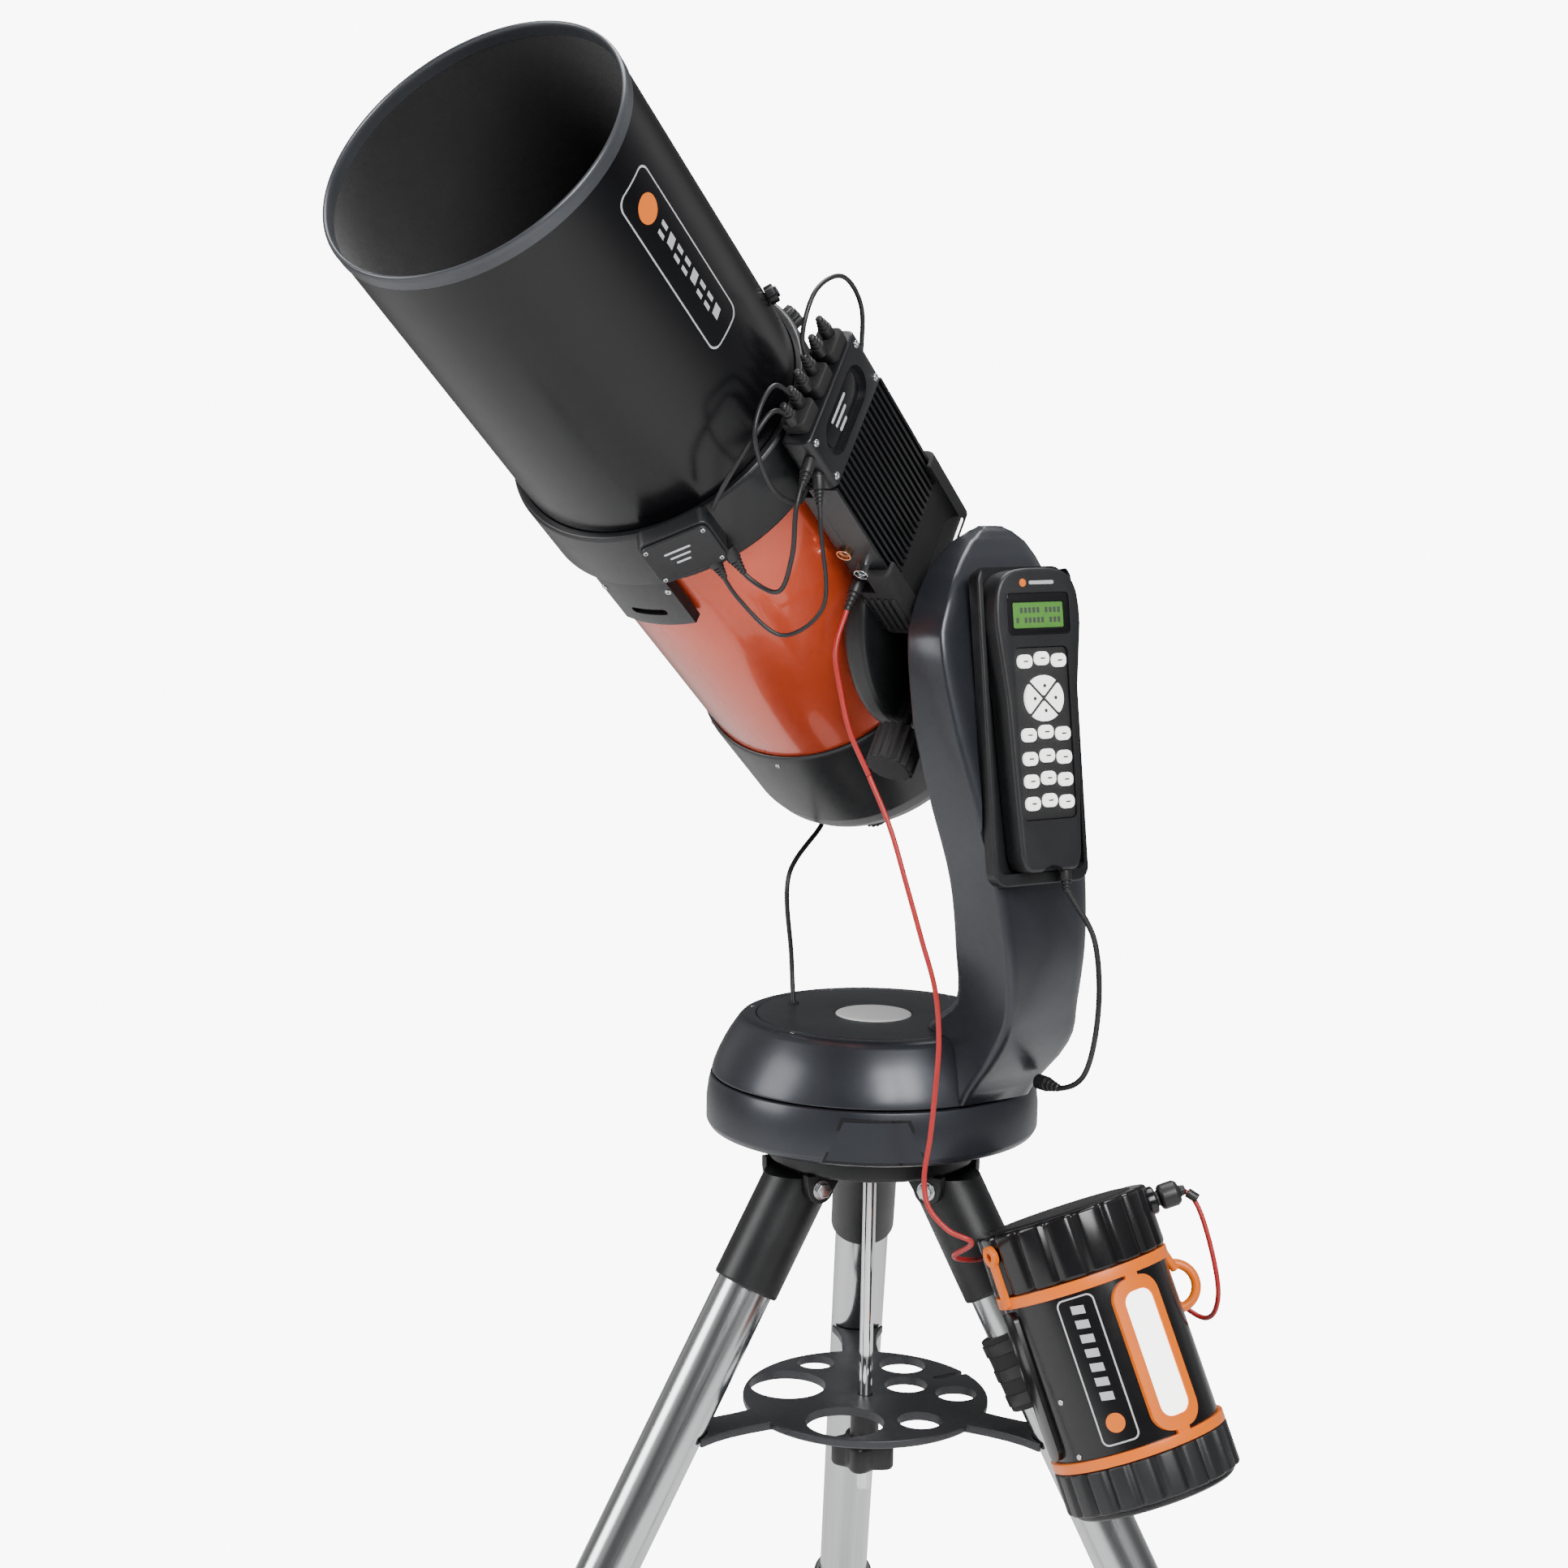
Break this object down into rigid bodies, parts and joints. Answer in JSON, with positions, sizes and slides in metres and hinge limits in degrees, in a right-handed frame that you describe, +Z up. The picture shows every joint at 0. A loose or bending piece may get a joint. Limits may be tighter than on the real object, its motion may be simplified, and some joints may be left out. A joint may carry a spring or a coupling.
{
  "type": "schmidt cassegrain telescope",
  "caption": "Catadioptric telescope on a single-arm computerised altazimuth mount and folding tripod, with dew shield, heater ring, hand control and clamped power tank.",
  "frame": {"origin": "on the floor, straight below the azimuth axis", "axes": "+Z up the azimuth axis; +X toward the fork arm, along the altitude axis; the tube points to -Y and up"},
  "size_m": [0.8392, 1.0406, 1.7104],
  "materials": {
    "arm_paint": "satin metallic",
    "black_casting": "satin",
    "black_plastic": "satin",
    "shield_gloss": "gloss",
    "tube_orange": "metallic gloss",
    "leg_steel": "polished",
    "rod_chrome": "polished",
    "gear_brass": "machined",
    "knob_rubber": "matt",
    "corrector_glass": "clear",
    "mirror": "aluminised",
    "key_white": "matt",
    "display_green": "gloss",
    "lamp_orange": "satin",
    "lamp_lens": "translucent",
    "cord_red": "matt",
    "cord_black": "matt"
  },
  "bodies": {
    "stand": {"tripod_head": "black_casting", "centre_rod": "rod_chrome", "base_lower": "arm_paint", "azimuth_gear": "gear_brass"},
    "upper_mount": {"base_upper": "arm_paint", "battery_cover": "arm_paint", "turntable": "black_casting", "fork_arm": "arm_paint", "control_cradle": "black_plastic", "control_cord": "cord_black", "power_cord_lower": "cord_red"},
    "control": {"control_case": "black_plastic", "control_display": "display_green"},
    "keys": {"keypad": "key_white"},
    "telescope": {"altitude_hub": "arm_paint", "dovetail_saddle": "black_casting", "dovetail_bar": "black_casting", "rear_cell": "black_casting", "tube": "tube_orange", "front_cell": "black_casting", "corrector_plate": "corrector_glass", "secondary_holder": "black_plastic", "baffle_tube": "black_plastic", "visual_back": "black_plastic", "dew_shield": "shield_gloss", "heater_ring": "black_casting", "junction_box": "black_plastic", "controller_body": "black_casting", "controller_nose": "black_casting", "controller_bumper": "knob_rubber", "heater_cord": "cord_black", "power_cord_upper": "cord_red", "data_cord": "cord_black"},
    "clamp": {"clamp_knob": "knob_rubber"},
    "mirror": {"primary_mirror": "mirror"},
    "focus": {"focus_knob": "knob_rubber"},
    "tray": {"spreader_tray": "black_casting"},
    "tension": {"tension_knob": "black_plastic"},
    "leg_1": {"leg_socket_1": "black_casting", "leg_tube_1": "leg_steel", "leg_clamp_1": "black_casting", "tank_body": "black_plastic", "tank_lamp_frame": "lamp_orange", "tank_lamp_lens": "lamp_lens", "tank_bracket": "black_plastic"},
    "extension_1": {"leg_extension_1": "leg_steel", "foot_1": "knob_rubber"},
    "lock_1": {"leg_lock_knob_1": "black_plastic"},
    "leg_2": {"leg_socket_2": "black_casting", "leg_tube_2": "leg_steel", "leg_clamp_2": "black_casting"},
    "extension_2": {"leg_extension_2": "leg_steel", "foot_2": "knob_rubber"},
    "lock_2": {"leg_lock_knob_2": "black_plastic"},
    "leg_3": {"leg_socket_3": "black_casting", "leg_tube_3": "leg_steel", "leg_clamp_3": "black_casting"},
    "extension_3": {"leg_extension_3": "leg_steel", "foot_3": "knob_rubber"},
    "lock_3": {"leg_lock_knob_3": "black_plastic"}
  },
  "joints": [
    {"name": "azimuth", "type": "hinge", "parent": "stand", "child": "upper_mount", "pos_m": [0, 0, 0.86], "axis": [0, 0, 1], "range_deg": [-180, 180], "deforming": ["power_cord_lower"]},
    {"name": "altitude", "type": "hinge", "parent": "upper_mount", "child": "telescope", "pos_m": [0.1, 0, 1.238], "axis": [1, 0, 0], "range_deg": [-53, 46], "deforming": ["power_cord_upper", "data_cord"]},
    {"name": "control_lift", "type": "slide", "parent": "upper_mount", "child": "control", "axis": [-0.1218, 0.0494, 0.9913], "range_m": [0, 0.06], "deforming": ["control_cord"]},
    {"name": "key_press", "type": "slide", "parent": "control", "child": "keys", "axis": [0.8586, -0.4959, 0.1302], "range_m": [-0.0008, 0], "stiffness_N_per_m": 800},
    {"name": "clamp_turn", "type": "hinge", "parent": "telescope", "child": "clamp", "pos_m": [0.072, -0.10226, 1.1646], "axis": [0, 0.5985, 0.8011], "range_deg": [-360, 360]},
    {"name": "focus_turn", "type": "hinge", "parent": "telescope", "child": "focus", "pos_m": [-0.06, 0.08748, 1.09277], "axis": [0, -0.8011, 0.5985], "range_deg": [-1440, 1440]},
    {"name": "mirror_travel", "type": "slide", "parent": "telescope", "child": "mirror", "axis": [0, -0.8011, 0.5985], "range_m": [-0.003, 0.003]},
    {"name": "tray_travel", "type": "slide", "parent": "stand", "child": "tray", "axis": [0, 0, 1], "range_m": [-0.03, 0]},
    {"name": "tension_turn", "type": "hinge", "parent": "tray", "child": "tension", "pos_m": [0, 0, 0.531], "axis": [0, 0, 1], "range_deg": [0, 720]},
    {"name": "leg_1_fold", "type": "hinge", "parent": "stand", "child": "leg_1", "pos_m": [0.07644, 0.00227, 0.77079], "axis": [-0.0297, 0.9996, 0], "range_deg": [0, 3.2]},
    {"name": "extension_1_slide", "type": "slide", "parent": "leg_1", "child": "extension_1", "axis": [0.4968, 0.0147, -0.8678], "range_m": [-0.12, 0.18]},
    {"name": "lock_1_turn", "type": "hinge", "parent": "leg_1", "child": "lock_1", "pos_m": [0.46655, 0.01385, 0.18994], "axis": [0.8674, 0.0257, 0.497], "range_deg": [-360, 0]},
    {"name": "leg_2_fold", "type": "hinge", "parent": "stand", "child": "leg_2", "pos_m": [-0.04019, 0.06507, 0.77079], "axis": [-0.8508, -0.5255, 0], "range_deg": [0, 3.2]},
    {"name": "extension_2_slide", "type": "slide", "parent": "leg_2", "child": "extension_2", "axis": [-0.2611, 0.4228, -0.8678], "range_m": [-0.12, 0.18]},
    {"name": "lock_2_turn", "type": "hinge", "parent": "leg_2", "child": "lock_2", "pos_m": [-0.24527, 0.39712, 0.18994], "axis": [-0.456, 0.7383, 0.497], "range_deg": [-360, 0]},
    {"name": "leg_3_fold", "type": "hinge", "parent": "stand", "child": "leg_3", "pos_m": [-0.03626, -0.06734, 0.77079], "axis": [0.8805, -0.4741, 0], "range_deg": [0, 3.2]},
    {"name": "extension_3_slide", "type": "slide", "parent": "leg_3", "child": "extension_3", "axis": [-0.2356, -0.4376, -0.8678], "range_m": [-0.12, 0.18]},
    {"name": "lock_3_turn", "type": "hinge", "parent": "leg_3", "child": "lock_3", "pos_m": [-0.22128, -0.41097, 0.18994], "axis": [-0.4114, -0.764, 0.497], "range_deg": [-360, 0]}
  ],
  "couplings": [
    {"joint": "focus_turn", "follows": "mirror_travel", "rad_per_m": 8370},
    {"joint": "leg_1_fold", "follows": "tray_travel", "rad_per_m": -1.8},
    {"joint": "leg_2_fold", "follows": "tray_travel", "rad_per_m": -1.8},
    {"joint": "leg_3_fold", "follows": "tray_travel", "rad_per_m": -1.8}
  ]
}
